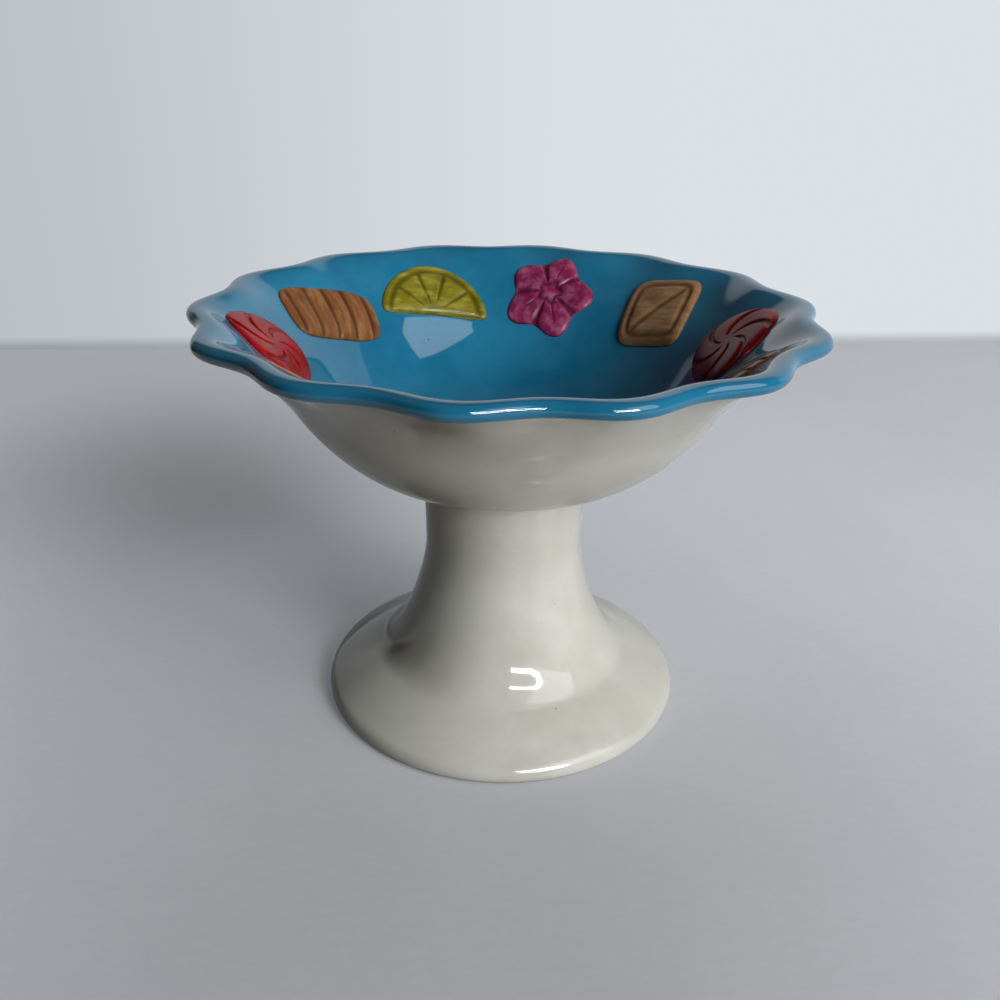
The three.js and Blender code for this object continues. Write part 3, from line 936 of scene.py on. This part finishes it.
def backdrop():
    """A pale wall with painted light, lighter towards the window and fading into a painted dark room, with
    painted shade along its foot.
    """
    finish = Finish("backdrop")
    place = finish.place()
    across = finish.node("ShaderNodeSeparateXYZ", inputs={"Vector": place}, output="X")
    height = finish.node("ShaderNodeSeparateXYZ", inputs={"Vector": place}, output="Z")
    colour = finish.blend(finish.between(across, *BACKDROP_SPAN), BACKDROP_LEFT, BACKDROP_RIGHT)
    colour = finish.blend(finish.between(across, *BACKDROP_LEFT_END), colour, BACKDROP_DARK)
    rise = height - across * BACKDROP_TOP_SLANT
    colour = finish.blend(finish.between(rise, *BACKDROP_TOP_END), colour, BACKDROP_DUSK)
    # Painted shade along the foot of the wall
    colour = finish.blend(finish.between(height, BACKDROP_FOOT, 0) * BACKDROP_FOOT_SHADE, colour, BLACK)
    shown = finish.node("ShaderNodeEmission", inputs={"Color": colour})
    dim = finish.node("ShaderNodeBsdfDiffuse", inputs={"Color": BACKDROP_BOUNCE})
    inputs = {"Fac": seen_directly(finish), 1: dim, 2: shown}
    mixed = finish.node("ShaderNodeMixShader", inputs=inputs)
    finish.node("ShaderNodeOutputMaterial", inputs={"Surface": mixed})
    return finish.material


def add_sheet(name, material, stand_up, place):
    """A wide flat sheet of the stage."""
    bm = bmesh.new()
    bmesh.ops.create_grid(bm, size=STAGE_SIZE / 2)
    bmesh.ops.rotate(bm, verts=bm.verts, matrix=Matrix.Rotation(stand_up, 3, "X"))
    bmesh.ops.translate(bm, verts=bm.verts, vec=place)
    mesh = bpy.data.meshes.new(name)
    bm.to_mesh(mesh)
    bm.free()
    mesh.materials.append(material)
    sheet = bpy.data.objects.new(name, mesh)
    bpy.context.scene.collection.objects.link(sheet)


def add_stage():
    """A pale table top and the backdrop behind it."""
    add_sheet("table_top", table_top(), 0, (0, WALL_DISTANCE - STAGE_SIZE / 2, 0))
    add_sheet("backdrop", backdrop(), RIGHT_ANGLE, (0, WALL_DISTANCE, STAGE_SIZE / 2))


# Light, with the lamps in degrees and metres
LAMP_AIM = Vector((0, 0, 55 * MM))
CAMERA_AZIMUTH = math.atan2(CAMERA_PLACE.x, -CAMERA_PLACE.y)
ROOM_LIGHT = paint(0x090807)
ROOM_PALE = paint(0xC4C9CE)
LAMP_DISTANCE = 1.1
LAMP_ELEVATION = 23
ARM_AZIMUTH = 22
ARM_RISE = 6.4
ARM_LENGTH = 0.4
ARM_THICKNESS = 0.044
BEND_AZIMUTH = 33
BEND_REACH = 6.5
BEND_RISE = 6.2
BEND_SWELL = 0.04
BEND_STEP = 0.06
BEND_LAMPS = 7


def add_lamp(name, azimuth, elevation, distance, width, height, level, roll=0.0, mirrored=True, spread=True):
    """A soft box, placed by degrees to the right of the camera and above the table, at a brightness."""
    turned, raised = CAMERA_AZIMUTH + math.radians(azimuth), math.radians(elevation)
    away = Vector((math.sin(turned), -math.cos(turned), 0)) * math.cos(raised)
    away.z = math.sin(raised)
    lamp = bpy.data.lights.new(name, "AREA")
    lamp.shape = "RECTANGLE"
    lamp.size, lamp.size_y = width, height
    lamp.energy = level * math.pi * width * height
    box = bpy.data.objects.new(name, lamp)
    box.location = LAMP_AIM + away * distance
    box.rotation_euler = (away.to_track_quat("Z", "Y") @ Quaternion((0, 0, 1), roll)).to_euler()
    box.visible_glossy = mirrored
    box.visible_diffuse = spread
    bpy.context.scene.collection.objects.link(box)


def add_bent_lamp(level):
    """A lamp bent like a horseshoe, open to the left, which only mirrors."""
    for name, rise in (("upper_arm", ARM_RISE), ("lower_arm", -ARM_RISE)):
        elevation = LAMP_ELEVATION + rise
        add_lamp(name, ARM_AZIMUTH, elevation, LAMP_DISTANCE, ARM_LENGTH, ARM_THICKNESS, level, spread=False)
    for i in range(BEND_LAMPS):
        sweep = math.pi * ((i + 0.5) / BEND_LAMPS - 0.5)
        azimuth = BEND_AZIMUTH + BEND_REACH * math.cos(sweep)
        elevation = LAMP_ELEVATION + BEND_RISE * math.sin(sweep)
        thickness = ARM_THICKNESS + BEND_SWELL * math.cos(sweep)
        place = (azimuth, elevation, LAMP_DISTANCE)
        add_lamp(f"bend_{i + 1}", *place, thickness, BEND_STEP, level, roll=sweep, spread=False)


def add_light():
    """A window from the front right, a bent lamp beside it, unseen fill and a dark room that looks pale."""
    add_lamp("window", azimuth=55, elevation=36, distance=1.2, width=0.76, height=0.9, level=2.9)
    add_bent_lamp(level=80)
    add_lamp(
        "lamp_fill", azimuth=39, elevation=21, distance=LAMP_DISTANCE, width=0.4, height=0.26, level=14,
        mirrored=False,
    )
    add_lamp(
        "low_fill", azimuth=56, elevation=6, distance=1.2, width=0.7, height=0.2, level=8.2,
        mirrored=False,
    )
    room = Room("room")
    camera = room.node("ShaderNodeLightPath", output="Is Camera Ray")
    light = room.node("ShaderNodeBackground", inputs={"Color": room.blend(camera, ROOM_LIGHT, ROOM_PALE)})
    room.node("ShaderNodeOutputWorld", inputs={"Surface": light})
    bpy.context.scene.world = room.world


add_camera()
add_stage()
add_light()
cream = cream_glaze()
add_piece("pedestal_body", pedestal(), cream, "pedestal")
add_piece("slip_bead", joint_slip(), fired_slip(), "joint_slip")
add_piece("bowl_body", bowl(), cream, "bowl")
add_piece("lining_coat", glaze_lining(), teal_glaze(), "glaze_lining")
add_sprigs()

bpy.context.scene.view_settings.view_transform = "Standard"
